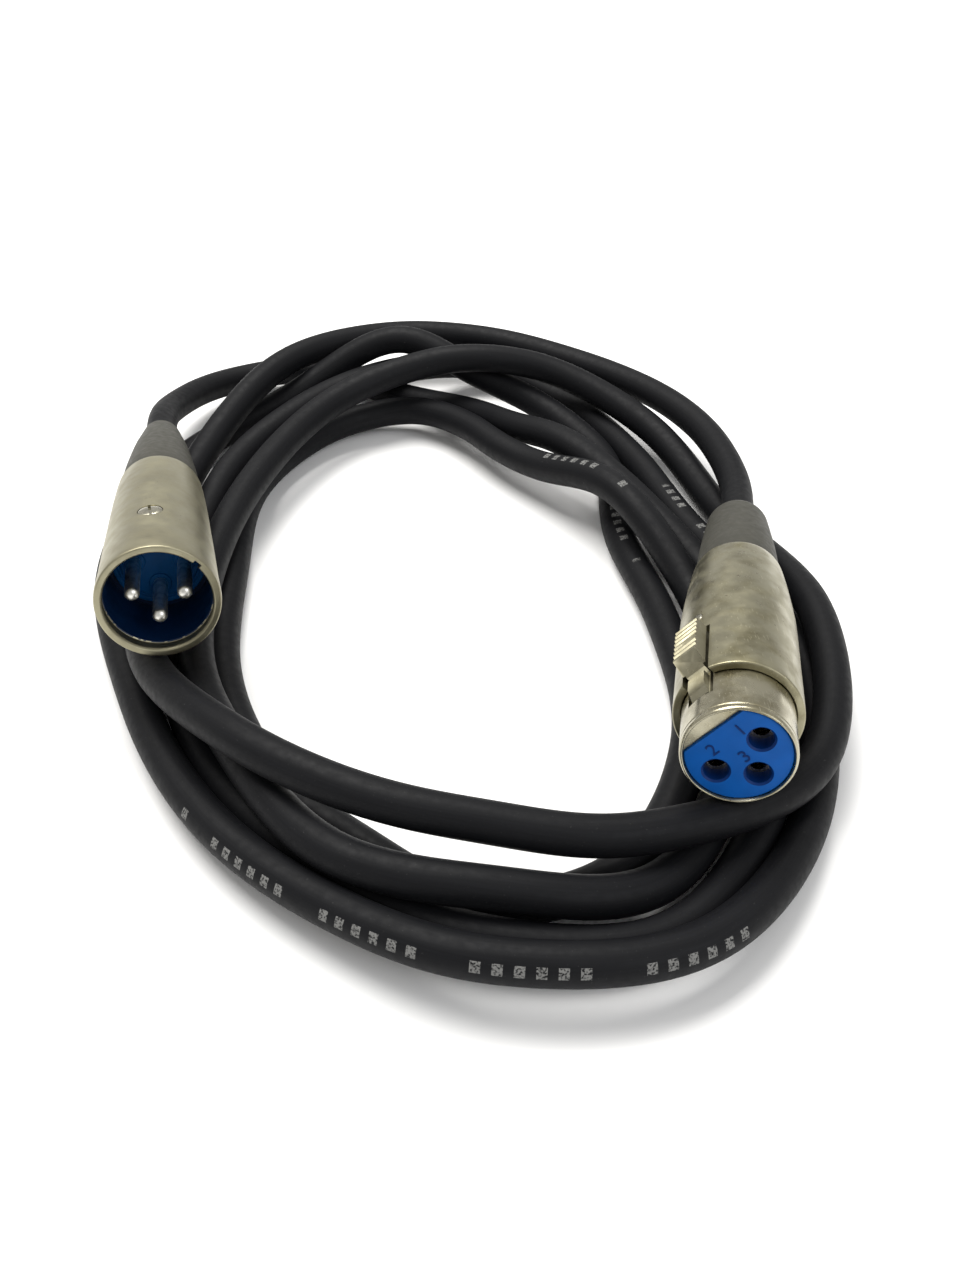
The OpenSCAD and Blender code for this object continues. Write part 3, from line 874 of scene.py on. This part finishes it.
def make_female_insert():
    insert = lathe("female_insert_face", [
        (0, INSERT_FACE), (7.2, INSERT_FACE, 0.3), (7.2, 27, 0.3), (0, 27),
    ])
    boolean(insert, block("flat", (-9, INSERT_FLAT, -3), (9, 9, 30)), "DIFFERENCE")
    for angle in FEMALE_ANGLES:
        hole = lathe("hole", [
            (0, -1), (2.2, -1), (2.0, 0.36), (1.72, 0.62), (1.7, 3.4), (1.97, 3.4), (1.97, 40), (0, 40),
        ], 64, contact_place(angle))
        boolean(insert, hole, "DIFFERENCE")
    smooth(insert)
    finish_piece(insert, ["blue_plastic", "blue_painted_shade"], "female_insert", FEMALE_M)
    # The walls of the entry holes get the painted shade.
    use_second(insert, FEMALE_M, in_hole)
    # The moulded numbers take the painted shade, a darker blue that stands in for the shade on their relief.
    for text, (x, y) in DIGIT_PLACES.items():
        finish_piece(digit(text, x, y), ["blue_painted_shade"], None, FEMALE_M)


ARM_LOW = 6.45
ARM_HIGH = 7.45
ARM_HALF = 1.6
PIVOT_HEIGHT = 6.5
PIVOT_DEPTH = 30.0
PAD_TOE = 10.9
PAD_FRONT = 12.2
PAD_BACK = 20.5
PAD_TOP = 11.2
PAD_HALF = 2.0
PAD_FOOT = 9.0
RIBS = 7
RIB_MARGIN = 0.3
RIB_DEEP = 0.24


def make_latch():
    """Arm, tooth and ribbed pad of the latch, in one piece as cast."""
    latch = prism("latch_body", [
        (TOOTH_FRONT, ARM_LOW), (PIVOT_DEPTH, ARM_LOW), (PIVOT_DEPTH, ARM_HIGH), (TOOTH_FRONT, ARM_HIGH),
    ], -ARM_HALF, ARM_HALF)
    pivot = Matrix.Translation((0, PIVOT_HEIGHT, -PIVOT_DEPTH)) @ Matrix.Rotation(math.radians(90), 4, "Z")
    boolean(latch, rod("boss", 1.1, -ARM_HALF, ARM_HALF, pivot), "UNION")
    boolean(latch, rod("pivot_hole", 0.55, -3, 3, pivot), "DIFFERENCE")
    tooth = prism("tooth", [
        (TOOTH_FRONT, ARM_HIGH - 0.5), (9.8, ARM_HIGH - 0.5), (9.8, 8.6), (7.4, 8.6), (TOOTH_FRONT, 7.6),
    ], -1.45, 1.45)
    boolean(latch, tooth, "UNION")
    stem = prism("stem", [
        (10.6, ARM_HIGH - 0.5), (PAD_BACK, ARM_HIGH - 0.5), (PAD_BACK, 9.1), (PAD_TOE, 9.1), (10.6, 8.7),
    ], -ARM_HALF, ARM_HALF)
    boolean(latch, stem, "UNION")
    pitch = (PAD_BACK - RIB_MARGIN - PAD_FRONT - RIB_MARGIN) / RIBS
    crest = [(PAD_FRONT, PAD_TOP)]
    for k in range(RIBS):
        start = PAD_FRONT + RIB_MARGIN + k * pitch
        crest += [(start + pitch * 0.2, PAD_TOP), (start + pitch * 0.45, PAD_TOP - RIB_DEEP)]
        crest += [(start + pitch * 0.65, PAD_TOP - RIB_DEEP), (start + pitch * 0.9, PAD_TOP)]
    outline = [(PAD_TOE, PAD_FOOT)] + crest + [(PAD_BACK, PAD_TOP - RIB_MARGIN), (PAD_BACK, PAD_FOOT)]
    pad = prism("pad", outline, -PAD_HALF, PAD_HALF)
    boolean(latch, pad, "UNION")
    ease_edges(latch, 0.09)
    smooth(latch, 30)
    finish_piece(latch, ["latch_nickel"], "latch_lever", FEMALE_M, body="latch")


def make_female_screw():
    seat = Matrix.Translation((0, 0, -FEMALE_SCREW_DEPTH))
    screw = slotted_screw("female_screw_head", seat, 1.0, 9.22, 8.0, 0.3, 0.35, 35)
    finish_piece(screw, ["screw_steel"], "female_set_screw", FEMALE_M)


make_female_sleeve()
make_female_nose()
make_female_insert()
make_latch()
make_female_screw()
make_boot("female_boot_sleeve", [
    (3.06, 46), (6.5, 46), (6.5, 50.1), (6.95, 50.1, 0.2), (6.85, 53), (6.7, 56), (6.5, 59), (6.25, 62),
    (5.95, 65), (5.7, 67.5), (5.45, 70, 0.8), (4.6, 72.2, 0.6), (3.6, 73, 0.3), (3.06, 73, 0.1),
], FEMALE_M, "female_boot")

# ------------------------------------------------------------------ what stays as CAD

KEPT = {
    "male_chuck": "clamp_plastic", "female_chuck": "clamp_plastic", "latch_pin": "screw_steel",
    "latch_spring": "spring_bronze",
}
for number in (1, 2, 3):
    KEPT[f"male_wire_{number}"] = f"wire_insulation_{number}"
    KEPT[f"female_wire_{number}"] = f"wire_insulation_{number}"
    KEPT[f"female_contact_{number}"] = "contact_silver"

for node, name in KEPT.items():
    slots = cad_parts[node].data.materials
    for i in range(len(slots)):
        slots[i] = PAINTS[name].material
